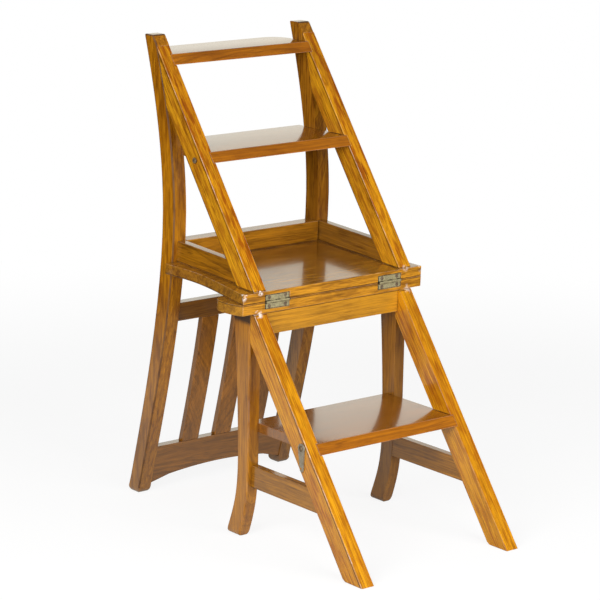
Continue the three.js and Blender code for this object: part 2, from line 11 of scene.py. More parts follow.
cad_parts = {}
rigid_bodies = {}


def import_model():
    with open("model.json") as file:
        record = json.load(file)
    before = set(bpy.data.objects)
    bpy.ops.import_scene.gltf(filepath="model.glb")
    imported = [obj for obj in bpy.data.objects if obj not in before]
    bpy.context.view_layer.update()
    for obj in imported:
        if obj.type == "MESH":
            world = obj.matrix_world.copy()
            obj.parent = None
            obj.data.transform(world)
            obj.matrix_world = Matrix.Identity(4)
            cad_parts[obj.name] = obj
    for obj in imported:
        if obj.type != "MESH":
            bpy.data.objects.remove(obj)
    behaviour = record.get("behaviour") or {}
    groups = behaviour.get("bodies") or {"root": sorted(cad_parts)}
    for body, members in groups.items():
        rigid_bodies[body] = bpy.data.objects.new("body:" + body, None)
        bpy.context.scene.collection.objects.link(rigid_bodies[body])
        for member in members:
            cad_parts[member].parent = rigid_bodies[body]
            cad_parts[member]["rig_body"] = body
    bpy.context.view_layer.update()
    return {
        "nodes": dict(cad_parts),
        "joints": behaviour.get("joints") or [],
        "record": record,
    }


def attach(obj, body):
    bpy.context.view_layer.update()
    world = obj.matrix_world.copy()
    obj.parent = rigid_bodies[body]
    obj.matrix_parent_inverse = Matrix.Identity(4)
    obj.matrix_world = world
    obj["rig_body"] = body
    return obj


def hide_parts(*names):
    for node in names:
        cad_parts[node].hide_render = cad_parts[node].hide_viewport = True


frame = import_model()

bl_info = {
    "name": "Folding Step Chair",
    "version": (1, 0, 0),
    "blender": (4, 5, 0),
    "location": "View3D > Sidebar > Step Chair",
    "description": "Dresses a folding step chair's packed solids in lacquered wood and aged brass",
    "category": "Object",
}

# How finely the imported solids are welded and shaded, and the shortest edge, in radii, that is rounded
WELD = 2e-6
FLAT_ANGLE = math.radians(0.05)
SHARP_ANGLE = math.radians(24)
SMOOTH_ANGLE = math.radians(14)
SHORT_EDGE = 1.5

# Quarter-round feet: cuts as shares of their height, and how far they draw in
FOOT_CUTS = (1.0, 0.6, 0.3, 0.1)
FOOT_DRAW = 0.6

# Where a board is cut from the log: start along it in metres, and spread of the distance to the pith
LOG_LENGTH = 3
PITH_SPREAD = (0.8, 1.3)

# The two halves meet in planes of this slope, which start one board away from the fold axis
STILE_SLOPE = math.radians(53.7)
SEAT_RAKE = math.radians(2.7)
BOARD_THICKNESS = 0.0197
BOARD_LEVEL = 0.0202
STILE_MIDDLE = 0.172
FOLD_AXIS = Vector(frame["joints"][0]["pos_m"])

# Painted light: how much a board is lightened towards gold at its front edge, and how fast that falls
# off behind it
FRONT_LIGHT = 0.1
FRONT_LIGHT_FALL = 0.6

# Painted light: how much the upper stiles are lightened on the faces that look sideways
STILE_SIDE_LIGHT = 0.16

# How much a post is darkened at its foot, and the height above which it isn't
FOOT_DARKENING = 0.34
DARKENING_HEIGHT = 0.45

# How much end grain is darkened, and the painted shade on the faces of treads and seat that look up
END_STAIN = 0.45
TOP_SHADE = 0.3

# A face looks sideways or up where its facing has at least this share in that direction
SIDEWAYS = 0.7
UPWARDS = 0.9

# Pale lines on the stiles' front arrises, rubbed and partly painted highlight; brown painted shade on
# legs, seat rails and posts, most on the right, whose pieces lie in shade
BASE_STILE_LINES = {"left": 0.5, "right": 0.06}
BACK_STILE_LINE = 0.34
LEG_SHADE = {"left": 0.1, "right": 0.42}
SEAT_RAIL_SHADE = {"left": 0.0, "right": 0.35}
POST_SHADE = {"left": 0.0, "right": 0.2}

# Marks on the wood: a trait's value there and its reach, or its values at the start and end.
# A trait holds 1 plus a distance in metres, because it reads as 0 on a piece that lacks it.
FRONT_ARRIS = (1.0, 0.004)
LINE_BESIDE = (1.0034, 0.0022)
# Painted shade on the stiles' rounded arrises near their heads
STILE_HEAD = (1.0206, 0.017)
BACK_ARRIS = (1.0405, 0.0024)
STILE_FLANK = (1.0108, 1.0116)
# Painted shadow of the seat board on the tops of the front legs
BOARD_SHADOW_BAND = (0.974, 0.984)
# Painted shade in the narrow gaps at the joints between parts
JOINT_SHADE = (0.0015, 0.0011)

# Chips: distance from the middle plane, height above the fold, reach, and stretch upwards
CHIPS = (
    (0.172, 0.0206, 0.009, 1.0),
    (0.176, -0.0206, 0.010, 0.8),
    (0.2095, 0.0180, 0.009, 0.7),
)


def tone(red, green, blue):
    """A display colour, 0 to 255 in each channel, as the linear colour that shaders take."""
    linear = []
    for channel in (red, green, blue):
        share = channel / 255
        linear.append(share / 12.92 if share <= 0.04045 else ((share + 0.055) / 1.055) ** 2.4)
    return (*linear, 1.0)


# Settings


class StepChairLook(bpy.types.PropertyGroup):
    """Sizes and colours that a user would change."""

    arris_radius: bpy.props.FloatProperty(
        name="Arris radius",
        description="Rounding of the long edges of rails and slats",
        default=0.001,
        min=0.0,
        unit="LENGTH",
    )
    stile_arris_radius: bpy.props.FloatProperty(
        name="Stile arris radius",
        description="Rounding of the stiles' edges, which hands and feet rub most",
        default=0.0009,
        min=0.0,
        unit="LENGTH",
    )
    curved_arris_radius: bpy.props.FloatProperty(
        name="Curved arris radius",
        description="Rounding of the edges of the curved posts and legs",
        default=0.0026,
        min=0.0,
        unit="LENGTH",
    )
    board_arris_radius: bpy.props.FloatProperty(
        name="Board arris radius",
        description="Rounding of the edges of seat board, strip and treads",
        default=0.001,
        min=0.0,
        unit="LENGTH",
    )
    metal_arris_radius: bpy.props.FloatProperty(
        name="Metal arris radius",
        description="Rounding of the edges of leaves and hooks",
        default=0.0003,
        min=0.0,
        unit="LENGTH",
    )
    foot_height: bpy.props.FloatProperty(
        name="Foot height",
        description="Height over which the feet of posts and legs are rounded",
        default=0.012,
        min=0.001,
        unit="LENGTH",
    )
    ring_spacing: bpy.props.FloatProperty(
        name="Ring spacing",
        description="Usual distance between the growth rings of the wood",
        default=0.0042,
        min=0.001,
        unit="LENGTH",
    )
    gold: bpy.props.FloatVectorProperty(
        name="Gold",
        description="Light tone of the lacquered wood",
        subtype="COLOR",
        size=4,
        default=tone(228, 158, 18),
        min=0.0,
        max=1.0,
    )
    amber: bpy.props.FloatVectorProperty(
        name="Amber",
        description="Deep tone of the lacquered wood",
        subtype="COLOR",
        size=4,
        default=tone(162, 86, 6),
        min=0.0,
        max=1.0,
    )
    # Also the pale line on the stiles' front arrises, which is partly a painted highlight
    worn: bpy.props.FloatVectorProperty(
        name="Worn",
        description="Bare wood on worn arrises",
        subtype="COLOR",
        size=4,
        default=tone(250, 240, 230),
        min=0.0,
        max=1.0,
    )
    brass: bpy.props.FloatVectorProperty(
        name="Brass",
        description="Aged brass of the hinges",
        subtype="COLOR",
        size=4,
        default=tone(176, 166, 126),
        min=0.0,
        max=1.0,
    )
    floor_tone: bpy.props.FloatVectorProperty(
        name="Floor",
        description="Colour of the pale floor",
        subtype="COLOR",
        size=4,
        default=(1.0, 1.0, 1.0, 1.0),
        min=0.0,
        max=1.0,
    )
    key_power: bpy.props.FloatProperty(
        name="Key power",
        description="Power of the large lamp in front",
        default=82.0,
        min=0.0,
        unit="POWER",
    )


def look():
    return bpy.context.scene.step_chair_look


# Node trees


class Signal:
    """A socket in a node tree. Plain arithmetic on it adds Math nodes."""

    def __init__(self, tree, socket):
        self.tree = tree
        self.socket = socket

    def _math(self, operation, first, second=None, clamp=False):
        node = self.tree.nodes.new("ShaderNodeMath")
        node.operation = operation
        node.use_clamp = clamp
        for socket, value in zip(node.inputs, (first, second)):
            feed(self.tree, socket, value)
        return Signal(self.tree, node.outputs[0])

    def __add__(self, other):
        return self._math("ADD", self, other)

    def __radd__(self, other):
        return self._math("ADD", other, self)

    def __sub__(self, other):
        return self._math("SUBTRACT", self, other)

    def __rsub__(self, other):
        return self._math("SUBTRACT", other, self)

    def __mul__(self, other):
        return self._math("MULTIPLY", self, other)

    def __rmul__(self, other):
        return self._math("MULTIPLY", other, self)

    def __truediv__(self, other):
        return self._math("DIVIDE", self, other)

    def __pow__(self, other):
        return self._math("POWER", self, other)

    def size(self):
        """This value without its sign."""
        return self._math("ABSOLUTE", self)

    def clamped(self):
        """This value held between 0 and 1."""
        return self._math("ADD", self, 0.0, clamp=True)

    def above(self, start, end):
        """0 below start, 1 above end and smooth between them."""
        node = self.tree.nodes.new("ShaderNodeMapRange")
        node.interpolation_type = "SMOOTHSTEP"
        for name, value in {"Value": self, "From Min": start, "From Max": end}.items():
            feed(self.tree, node.inputs[name], value)
        return Signal(self.tree, node.outputs["Result"])

    def near(self, middle, reach):
        """1 at a middle value, 0 beyond reach on either side of it."""
        return 1 - (self - middle).size().above(0.0, reach)


def feed(tree, socket, value):
    """Links a signal, or several, to a socket, or sets the socket to a constant."""
    for item in value if isinstance(value, list) else [value]:
        if isinstance(item, Signal):
            tree.links.new(item.socket, socket)
        elif item is not None:
            socket.default_value = item


class Network:
    """A node tree while it is built."""

    def __init__(self, tree):
        self.tree = tree
        self.tree.nodes.clear()

    def node(self, kind, settings=None, inputs=None, output=0):
        """Any node. Its settings are set first, then its sockets. Gives the outputs asked for."""
        node = self.tree.nodes.new(kind)
        for name, value in (settings or {}).items():
            setattr(node, name, value)
        for name, value in (inputs or {}).items():
            feed(self.tree, node.inputs[name], value)
        if isinstance(output, tuple):
            return [Signal(self.tree, node.outputs[name]) for name in output]
        return None if output is None else Signal(self.tree, node.outputs[output])

    def vector(self, x, y, z):
        return self.node("ShaderNodeCombineXYZ", None, {0: x, 1: y, 2: z})

    def parts(self, vector):
        return self.node("ShaderNodeSeparateXYZ", None, {0: vector}, (0, 1, 2))

    def grey(self, share):
        """A neutral colour of one strength."""
        return self.node("ShaderNodeCombineColor", None, {0: share, 1: share, 2: share})

    def mix(self, factor, first, second, blend="MIX"):
        """A mix of two colours."""
        settings = {"data_type": "RGBA", "blend_type": blend, "clamp_factor": True}
        return self.node("ShaderNodeMix", settings, {0: factor, 6: first, 7: second}, 2)

    def ray_kinds(self):
        """Whether a ray comes from the camera, and whether it is mirrored or goes through glass."""
        names = ("Is Camera Ray", "Is Glossy Ray", "Is Transmission Ray")
        camera, glossy, through = self.node("ShaderNodeLightPath", output=names)
        return camera, (glossy + through).clamped()


class Finish(Network):
    """A material while its nodes are made."""

    def __init__(self, name):
        self.material = bpy.data.materials.new(name)
        self.material.use_nodes = True
        super().__init__(self.material.node_tree)

    def attribute(self, name, output="Fac"):
        return self.node("ShaderNodeAttribute", {"attribute_name": name}, output=output)

    def object_place(self):
        return self.node("ShaderNodeTexCoord", output="Object")

    def noise(self, vector, factors, detail=3.0, roughness=0.55):
        """Noise over a vector that is stretched by one factor per axis. About 0 to 1."""
        scaling = {"operation": "MULTIPLY"}
        stretched = self.node("ShaderNodeVectorMath", scaling, {0: vector, 1: factors})
        settings = {"noise_dimensions": "3D", "normalize": True}
        inputs = {"Vector": stretched, "Scale": 1.0, "Detail": detail, "Roughness": roughness}
        return self.node("ShaderNodeTexNoise", settings, inputs)

    def bump(self, height, strength, distance):
        inputs = {"Height": height, "Strength": strength, "Distance": distance}
        return self.node("ShaderNodeBump", None, inputs)

    def surface(self, **sockets):
        """Ends the material in one lacquer or metal shader."""
        inputs = {name.replace("_", " "): value for name, value in sockets.items()}
        shader = self.node("ShaderNodeBsdfPrincipled", None, inputs)
        self.node("ShaderNodeOutputMaterial", None, {"Surface": shader}, None)
        return self.material


class Pattern(Network):
    """A geometry node tree with named inputs, while its nodes are made."""

    KINDS = {float: "NodeSocketFloat", int: "NodeSocketInt", str: "NodeSocketMaterial"}

    def __init__(self, name, **defaults):
        super().__init__(bpy.data.node_groups.new(name, "GeometryNodeTree"))
        face = self.tree.interface
        face.new_socket(name="Geometry", in_out="OUTPUT", socket_type="NodeSocketGeometry")
        face.new_socket(name="Geometry", in_out="INPUT", socket_type="NodeSocketGeometry")
        for label, value in defaults.items():
            socket = face.new_socket(
                name=label.replace("_", " "),
                in_out="INPUT",
                socket_type=self.KINDS[type(value)],
            )
            if not isinstance(value, str):
                socket.default_value = value
        self.entry = self.tree.nodes.new("NodeGroupInput")

    def given(self, label):
        return Signal(self.tree, self.entry.outputs[label])

    def moved(self, geometry, offset):
        inputs = {"Geometry": geometry, "Translation": offset}
        return self.node("GeometryNodeTransform", None, inputs)

    def carved(self, operation, *meshes):
        """A Boolean. The first mesh is cut by the others, or all of them are joined."""
        inputs = {"Mesh 2": list(meshes)}
        if operation == "DIFFERENCE":
            inputs = {"Mesh 1": meshes[0], "Mesh 2": list(meshes[1:])}
        settings = {"operation": operation, "solver": "EXACT"}
        return self.node("GeometryNodeMeshBoolean", settings, inputs)

    def stored(self, geometry, domain, name, value):
        settings = {"data_type": "FLOAT_VECTOR", "domain": domain}
        inputs = {"Geometry": geometry, "Name": name, "Value": value}
        return self.node("GeometryNodeStoreNamedAttribute", settings, inputs)

    def named(self, name):
        settings = {"data_type": "FLOAT_VECTOR"}
        return self.node("GeometryNodeInputNamedAttribute", settings, {"Name": name})

    def end(self, geometry):
        """Turns instances into plain geometry with the given finish."""
        plain = self.node("GeometryNodeRealizeInstances", None, {"Geometry": geometry})
        inputs = {"Geometry": plain, "Material": self.given("Finish")}
        done = self.node("GeometryNodeSetMaterial", None, inputs)
        self.node("NodeGroupOutput", None, {"Geometry": done}, None)
        return self.tree


# Finishes

# Brown towards which painted shade, end grain and the posts' feet are darkened
BROWN_STAIN_AND_SHADE = tone(78, 58, 34)
# Gold towards which painted light lightens the wood
LIT_GOLD = tone(250, 194, 60)
# A dark tone for grime and for painted shade
DIRT_AND_SHADE = tone(46, 26, 12)

# Woods by slot: name, light and deep tone, and the refraction of the lacquer and the wood below it
WOODS = {
    "leg_wood": ("golden_leg_wood", (202, 132, 20), (134, 76, 9), 1.5, 1.5),
    "rail_wood": ("brown_rail_wood", (182, 120, 20), (108, 64, 10), 1.5, 1.5),
    "tread_wood": ("tread_wood", (190, 114, 10), (136, 72, 5), 1.75, 1.8),
    "seat_wood": ("seat_wood", (214, 144, 30), (140, 82, 14), 1.34, 1.4),
    # Back wood is darker partly as painted shade, for slats and rail that lie under the seat
    "back_wood": ("brown_back_wood", (156, 98, 26), (104, 62, 14), 1.5, 1.5),
}

# Metals by slot: name, and the tones of clean metal, tarnish, and the dark edges, which are grime and
# painted shade of the gap round a part
METALS = {
    "screw_brass": ("dark_screw_brass", (134, 116, 92), (84, 66, 48), (44, 30, 20)),
    "hook_steel": ("dull_hook_metal", (170, 160, 140), (122, 108, 88), (60, 46, 34)),
}
HINGE_TARNISH = tone(128, 118, 86)
# Dark edge tone of the hinges: grime and painted shade of the gap round a leaf
HINGE_DIRT_AND_SHADE = tone(44, 34, 20)
METAL_ROUGHNESS = 0.42
METAL_SHARE = 0.45


def chipped(finish):
    """A mask of the small chips at the stiles' ends and on the board's front corners."""
    place = finish.object_place()
    x, y, z = finish.parts(place)
    out, forward, rise = x.size(), y - FOLD_AXIS.y, z - FOLD_AXIS.z
    mask = 0.0
    for middle, level, reach, stretch in CHIPS:
        across, up = out - middle, (rise - level) * stretch
        away = (across * across + forward * forward + up * up) ** 0.5
        mask = 1 - away.above(reach * 0.3, reach) + mask
    specks = finish.noise(place, (140.0, 140.0, 140.0), detail=2.0).above(0.44, 0.56)
    return specks * mask.clamped() * (1 - x.above(-0.01, 0.01) * 0.55)


def lacquered_wood(name, light, deep, glaze, body):
    """Lacquered wood with growth rings, mottled fibres, pores and worn arrises, painted light and
    painted shade.

    The pattern is solid: it reads the piece's grain attribute, metres along the grain and
    from the pith, so boards show long streaks and their ends show arcs."""
    finish = Finish(name)
    grain = finish.attribute("grain", "Vector")
    along, across, through = finish.parts(grain)
    drift = finish.noise(grain, (3.0, 11.0, 11.0), detail=2.0) - 0.5
    from_pith = (across * across + through * through) ** 0.5 + drift * 0.02
    shell = finish.vector(along * 2.2, from_pith / look().ring_spacing, 0.0)
    rings = finish.noise(shell, (1.0, 1.0, 1.0), roughness=0.6)
    fibres = finish.noise(grain, (11.0, 400.0, 400.0), roughness=0.62)
    mottling = finish.noise(grain, (24.0, 130.0, 130.0))
    dashes = finish.noise(grain, (34.0, 300.0, 300.0), detail=2.0).above(0.52, 0.64)
    patches = finish.noise(grain, (4.5, 26.0, 26.0), detail=2.0)
    flecks = finish.noise(grain, (15.0, 430.0, 430.0), detail=1.0).above(0.65, 0.72)

    seen = finish.attribute("mottle")
    depth = (
        rings.above(0.38, 0.62) * 0.26
        + fibres.above(0.4, 0.66) * 0.24
        + patches.above(0.42, 0.6) * 0.28
        + mottling.above(0.44, 0.62) * seen
    )
    dark = tuple(channel * 0.3 for channel in deep[:3]) + (1.0,)
    colour = finish.mix(depth.clamped(), light, deep)
    end_grain = finish.attribute("end_grain").above(0.5, 0.8) * END_STAIN
    # Brown darkening: painted shade on tops and on pieces in shade, a darker foot on the posts, and
    # darker end grain
    stain = (finish.attribute("stain") + end_grain).clamped()
    colour = finish.mix(stain, colour, BROWN_STAIN_AND_SHADE)
    # Painted light: sideways faces of the upper stiles, the boards' front edge and the apron are
    # lightened towards gold
    colour = finish.mix(finish.attribute("fade"), colour, LIT_GOLD)
    colour = finish.mix(rings.near(0.5, 0.04) * 0.34, colour, dark)
    colour = finish.mix((flecks * 0.5 + dashes * seen * 0.5).clamped(), colour, dark)

    arris = finish.attribute("arris")
    scuffs = finish.noise(grain, (32.0, 90.0, 90.0)).above(0.44, 0.62)
    edge = finish.attribute("edge")
    line = finish.attribute("line")
    flank = finish.attribute("flank").above(*STILE_FLANK)
    # Pale line on the stiles' front arris: rubbed wood, and in part a painted highlight of the white
    # surroundings
    front = edge.near(*FRONT_ARRIS) * flank * line * (0.15 + scuffs * 0.85)
    wear_and_highlight = (arris * (front + scuffs * finish.attribute("rub"))).clamped()
    colour = finish.mix(wear_and_highlight, colour, look().worn)
    beside = edge.near(*LINE_BESIDE) * (1 - arris) * (line * 2.5).clamped()
    # Painted shade on the stiles' rounded arrises near their heads
    head = arris * edge.near(*STILE_HEAD)
    # Dark lines at the joints: painted shade of the narrow gaps between parts
    joint_shade = (finish.attribute("seam") - 1).size().near(*JOINT_SHADE)
    # Painted shadow of the seat board on the front legs
    shelter = finish.attribute("shelter").above(*BOARD_SHADOW_BAND)
    behind = edge.near(*BACK_ARRIS) * finish.attribute("grime")
    # Painted shade on rounded arrises, most on the posts
    crease = arris * finish.attribute("crease")
    # The dark marks: grime, and painted shade at joints, arrises and under the seat board
    dirt_and_shade = beside * 0.85 + head * 0.7 + behind * 0.8 + joint_shade * 0.9 + shelter * 0.9 + crease
    colour = finish.mix(dirt_and_shade.clamped(), colour, DIRT_AND_SHADE)
    colour = finish.mix(chipped(finish) * 0.85, colour, look().worn)

    relief = fibres * 0.6 + mottling * 0.8 - flecks * 0.5
    return finish.surface(
        Base_Color=colour,
        Roughness=0.16 + fibres * 0.1 + arris * 0.4,
        IOR=body,
        Normal=finish.bump(relief, 0.16, 0.0004),
        Coat_Weight=1 - arris * 0.95,
        Coat_Roughness=0.1,
        Coat_IOR=glaze,
    )


def aged_metal(name, bright, dull, rim):
    """Brass or steel gone dull in spots, with grime and painted shade along its arrises and its outline.
    """
    finish = Finish(name)
    place = finish.object_place()
    pits = finish.noise(place, (420.0, 420.0, 420.0), detail=4.0, roughness=0.62)
    cloud = finish.noise(place, (110.0, 110.0, 110.0), detail=2.0)
    tarnish = (pits.above(0.44, 0.62) * 0.55 + cloud.above(0.4, 0.66) * 0.5).clamped()
    colour = finish.mix(tarnish, bright, dull)
    crumbs = finish.noise(place, (260.0, 260.0, 260.0), detail=2.0).above(0.3, 0.6)
    run, climb = finish.attribute("run").size(), finish.attribute("climb").size()
    # A dark outline at the leaf's ends and long edges: painted shade of the gap round it, broken up by
    # grime
    ends = run.above(0.92, 0.97) + climb.above(0.76, 0.94)
    dirt_and_shade = (finish.attribute("arris") * 0.75 + ends * (0.3 + crumbs * 0.6)).clamped()
    colour = finish.mix(dirt_and_shade, colour, rim)
    return finish.surface(
        Base_Color=colour,
        Roughness=METAL_ROUGHNESS + tarnish * 0.2,
        Metallic=METAL_SHARE - tarnish * 0.2,
        Normal=finish.bump(pits, 0.25, 0.0003),
    )


FINISHES = {}


def make_finishes():
    """The finishes by the record's slot names."""
    gold, amber, brass = [tuple(each) for each in (look().gold, look().amber, look().brass)]
    FINISHES["stile_wood"] = lacquered_wood("golden_stile_wood", gold, amber, 1.5, 1.5)
    for slot, (name, light, deep, glaze, body) in WOODS.items():
        FINISHES[slot] = lacquered_wood(name, tone(*light), tone(*deep), glaze, body)
    FINISHES["hinge_brass"] = aged_metal("aged_hinge_brass", brass, HINGE_TARNISH, HINGE_DIRT_AND_SHADE)
    for slot, (name, *tones) in METALS.items():
        FINISHES[slot] = aged_metal(name, *[tone(*each) for each in tones])


# Shaping


SLOT_OF = {part["node"]: part["material_slot"] for part in frame["record"]["subparts"]}


def body_of(node):
    return frame["nodes"][node]["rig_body"]


def grain_axes(along):
    """Three directions of a board: along its grain, and two across it."""
    along = Vector(along).normalized()
    helper = Vector((1, 0, 0)) if abs(along.x) < 0.9 else Vector((0, 0, 1))
    across = (helper - helper.dot(along) * along).normalized()
    return along, across, along.cross(across)


def split_distance(point, half):
    """How far a point lies behind the sloping plane in which a half's stiles end, in metres."""
    rise = point.z - FOLD_AXIS.z - half * BOARD_THICKNESS
    return (point.y - FOLD_AXIS.y) * math.sin(STILE_SLOPE) - rise * math.cos(STILE_SLOPE)


def fold_rise(point):
    """How far a point lies above the raked plane through the fold axis, in metres."""
    out = point - FOLD_AXIS
    return out.z * math.cos(SEAT_RAKE) - out.y * math.sin(SEAT_RAKE)


def write_grain(mesh, along, seed, pith):
    """Writes each point's place in its board, with the pith some way outside it."""
    axes = grain_axes(along)
    dice = random.Random(seed)
    turn = dice.uniform(0, 2 * math.pi)
    start = dice.uniform(0, LOG_LENGTH)
    middle = sum((vertex.co for vertex in mesh.vertices), Vector()) / len(mesh.vertices)
    reach = pith * dice.uniform(*PITH_SPREAD)
    offset = Vector((start, reach * math.cos(turn), reach * math.sin(turn)))
    grain = mesh.attributes.new("grain", "FLOAT_VECTOR", "POINT")
    values = []
    for vertex in mesh.vertices:
        local = vertex.co - middle
        values.extend(Vector([axis.dot(local) for axis in axes]) + offset)
    grain.data.foreach_set("vector", values)


def write_traits(mesh, traits):
    """Writes numbers that the finishes read: one for the whole mesh, or one by each point's place."""
    for name, value in traits.items():
        attribute = mesh.attributes.new(name, "FLOAT", "POINT")
        numbers = [value(vertex.co) if callable(value) else value for vertex in mesh.vertices]
        attribute.data.foreach_set("value", numbers)


def write_facings(mesh, along, side_fade, top_stain):
    """Writes traits that go by where a face looks: end grain along the grain, painted light on faces
    that look sideways, painted shade on faces that look up.
    """
    along = Vector(along).normalized()
    ends = [abs(face.normal.dot(along)) for face in mesh.polygons]
    mesh.attributes.new("end_grain", "FLOAT", "FACE").data.foreach_set("value", ends)
    if side_fade:
        side_lights = [side_fade * (abs(face.normal.x) > SIDEWAYS) for face in mesh.polygons]
        mesh.attributes.new("fade", "FLOAT", "FACE").data.foreach_set("value", side_lights)
    if top_stain:
        top_shades = [top_stain * (face.normal.z > UPWARDS) for face in mesh.polygons]
        mesh.attributes.new("stain", "FLOAT", "FACE").data.foreach_set("value", top_shades)


def softened(node, radius, beyond=-1.0, clamp=False):
    """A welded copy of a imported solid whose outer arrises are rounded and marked.

    Edges that are short for the radius, such as those of bores, stay as they are, and so do
    those that lie nowhere beyond the given distance from the middle plane."""
    form = bmesh.new()
    form.from_mesh(frame["nodes"][node].data)
    bmesh.ops.remove_doubles(form, verts=form.verts, dist=WELD)
    bmesh.ops.dissolve_limit(form, angle_limit=FLAT_ANGLE, verts=form.verts, edges=form.edges)
    arris = form.faces.layers.float.new("arris")
    edges = [
        edge for edge in form.edges
        if len(edge.link_faces) == 2
        and edge.is_convex
        and edge.calc_face_angle() > SHARP_ANGLE
        and edge.calc_length() > radius * SHORT_EDGE
        and max(abs(vertex.co.x) for vertex in edge.verts) > beyond
    ]
    made = bmesh.ops.bevel(
        form,
        geom=edges,
        offset=radius,
        offset_type="OFFSET",
        segments=2,
        profile=0.5,
        affect="EDGES",
        clamp_overlap=clamp,
    )
    for face in made["faces"]:
        face[arris] = 1.0
    return form


def round_foot(form, height):
    """Draws a foot's two sides in towards the floor, in quarter circles."""
    for share in FOOT_CUTS:
        everything = [*form.verts, *form.edges, *form.faces]
        level = (0, 0, height * share)
        bmesh.ops.bisect_plane(form, geom=everything, plane_co=level, plane_no=(0, 0, 1))
    feet = [vertex for vertex in form.verts if vertex.co.z < height]
    middle = sum(vertex.co.x for vertex in feet) / len(feet)
    for vertex in feet:
        low = 1 - vertex.co.z / height
        inward = height * FOOT_DRAW * (1 - math.sqrt(max(0.0, 1 - low * low)))
        vertex.co.x -= math.copysign(inward, vertex.co.x - middle)


def shade(form):
    """Smooth shading where faces meet at small angles."""
    for face in form.faces:
        face.smooth = True
    for edge in form.edges:
        edge.smooth = len(edge.link_faces) == 2 and edge.calc_face_angle(math.pi) < SMOOTH_ANGLE


def to_object(form, name):
    """A finished object from a form."""
    shade(form)
    mesh = bpy.data.meshes.new(name)
    form.to_mesh(mesh)
    form.free()
    piece = bpy.data.objects.new(name, mesh)
    bpy.context.scene.collection.objects.link(piece)
    return piece


def settle(piece, node, *others):
    """Gives a piece the finish of its slot and its body, and hides the solids that it stands for."""
    slot = SLOT_OF[node]
    piece.data.materials.clear()
    piece.data.materials.append(FINISHES[slot])
    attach(piece, body_of(node))
    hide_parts(node, *others)
    return piece


def grown(piece, tree, **values):
    """Runs a geometry node tree on an object and keeps the result as its plain mesh."""
    modifier = piece.modifiers.new(tree.name, "NODES")
    modifier.node_group = tree
    for item in tree.interface.items_tree:
        label = item.name.replace(" ", "_")
        if item.in_out == "INPUT" and label in values:
            modifier[item.identifier] = values[label]
    depsgraph = bpy.context.evaluated_depsgraph_get()
    mesh = bpy.data.meshes.new_from_object(
        piece.evaluated_get(depsgraph),
        preserve_all_data_layers=True,
        depsgraph=depsgraph,
    )
    mesh.name = piece.name
    piece.modifiers.remove(modifier)
    piece.data = mesh
    return piece


def board(node, along, radius=None, pith=0.09, foot=0.0, side_fade=0.0, top_stain=0.0, **traits):
    """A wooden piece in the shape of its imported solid."""
    form = softened(node, radius or look().arris_radius, STILE_MIDDLE if foot else -1.0)
    if foot:
        round_foot(form, foot)
    piece = to_object(form, f"{node}_wood")
    write_grain(piece.data, along, node, pith)
    write_facings(piece.data, along, side_fade, top_stain)
    write_traits(piece.data, {"rub": 0.04, "mottle": 0.22, **traits})
    return settle(piece, node)


ALONG_X = (1, 0, 0)
ALONG_Y = (0, 1, 0)
ALONG_Z = (0, 0, 1)
ALONG_STILE = (0, math.cos(STILE_SLOPE), math.sin(STILE_SLOPE))
ALONG_SEAT = (0, math.cos(SEAT_RAKE), math.sin(SEAT_RAKE))


def seam_at(level):
    """A trait of 1 plus the height, in metres, above the raked plane at one level over the fold."""
    return lambda point: 1 + fold_rise(point) - level


def darkened_foot(share):
    """A darkening of one share that grows towards the floor."""
    return lambda point: share + FOOT_DARKENING * max(0.0, 1 - point.z / DARKENING_HEIGHT)


def lit_front(point):
    """How much painted light lightens a board at a point behind its front edge."""
    return max(0.0, FRONT_LIGHT - FRONT_LIGHT_FALL * (point.y - FOLD_AXIS.y))


def stile(node, half, line, mottle, grime):
    """A sloping stile: a rubbed front arris whose pale line is partly a painted highlight, a dark line
    beside it, grime along its back arris, painted shade on its arrises.
    """
    return board(
        node,
        ALONG_STILE,
        look().stile_arris_radius,
        0.06,
        # Painted light on the sideways faces of the upper stiles
        side_fade=STILE_SIDE_LIGHT if half > 0 else 0.0,
        rub=0.02,
        # Painted shade on the rounded arrises
        crease=0.2,
        mottle=mottle,
        line=line,
        grime=grime,
        edge=lambda point: 1 + split_distance(point, half),
        flank=lambda point: 1 + abs(abs(point.x) - STILE_MIDDLE),
        seam=seam_at(half * BOARD_LEVEL),
    )


# Repeated pieces

# How far a screw's slot may be turned, in radians, and how far a slat is moved in the log
SLOT_TURN = 0.7
SLAT_SHIFTS = ((0.0, -0.03, -0.03), (2.0, 0.03, 0.03))

# Round-headed pins: head radius and seed of their slots' turns
PINS = {"catch_pin": (0.0056, 2), "latch_pivot_screw": (0.0052, 3)}
PIN_SEAT = 0.0018
PIN_ROOT_SHARE = 0.94


